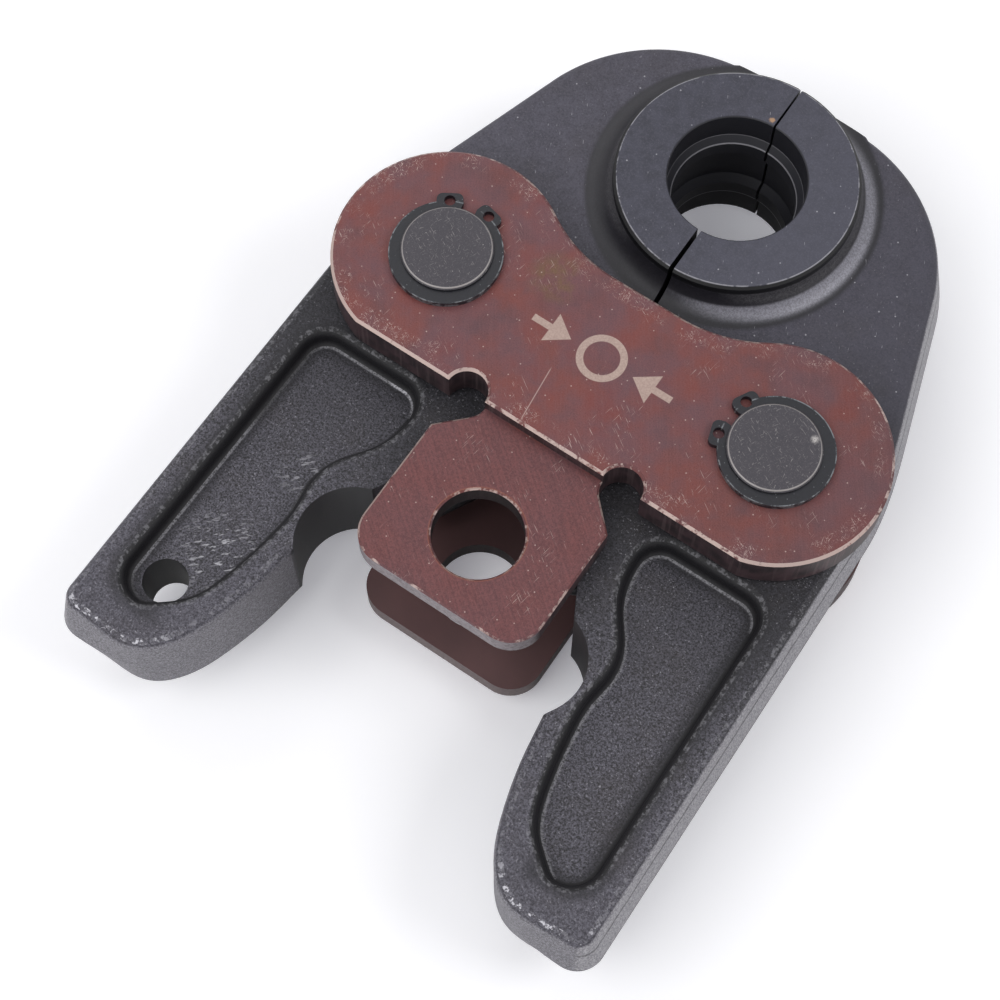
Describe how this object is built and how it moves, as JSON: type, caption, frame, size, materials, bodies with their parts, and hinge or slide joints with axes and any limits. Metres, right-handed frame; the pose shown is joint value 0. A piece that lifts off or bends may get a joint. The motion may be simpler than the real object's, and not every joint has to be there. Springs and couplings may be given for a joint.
{
  "type": "press fitting tool jaw",
  "caption": "Pressing jaw for pipe fittings: forged arms swing on pins between brown side plates, with half dies at one end, levers at the other and a bolt tab between them.",
  "frame": {"origin": "middle of the bolt bore in the tab, halfway between the two side plates", "axes": "+Z square to the side plates, +Y from the bolt bore to the dies, +X across the jaw"},
  "size_m": [0.0978, 0.1397, 0.0366],
  "materials": {
    "forging": "black blasted forging",
    "plate": "red-brown oxidised ground steel",
    "pin": "dark satin steel",
    "ring": "black oiled spring steel",
    "spring": "dark spring wire"
  },
  "bodies": {
    "side_plates": {"top_side_plate": "plate", "bottom_side_plate": "plate", "left_pivot_pin": "pin", "right_pivot_pin": "pin", "top_left_retaining_ring": "ring", "top_right_retaining_ring": "ring", "bottom_left_retaining_ring": "ring", "bottom_right_retaining_ring": "ring", "return_spring": "spring"},
    "left_arm": {"left_arm": "forging"},
    "right_arm": {"right_arm": "forging"}
  },
  "joints": [
    {"name": "left_arm_hinge", "type": "hinge", "parent": "side_plates", "child": "left_arm", "pos_m": [-0.0297, 0.0349, 0], "axis": [0, 0, 1], "range_deg": [0, 15], "stiffness_Nm_per_rad": 2, "springref_deg": -20.05, "deforming": ["return_spring"]},
    {"name": "right_arm_hinge", "type": "hinge", "parent": "side_plates", "child": "right_arm", "pos_m": [0.0297, 0.0349, 0], "axis": [0, 0, -1], "range_deg": [0, 15], "stiffness_Nm_per_rad": 2, "springref_deg": -20.05, "deforming": ["return_spring"]}
  ]
}
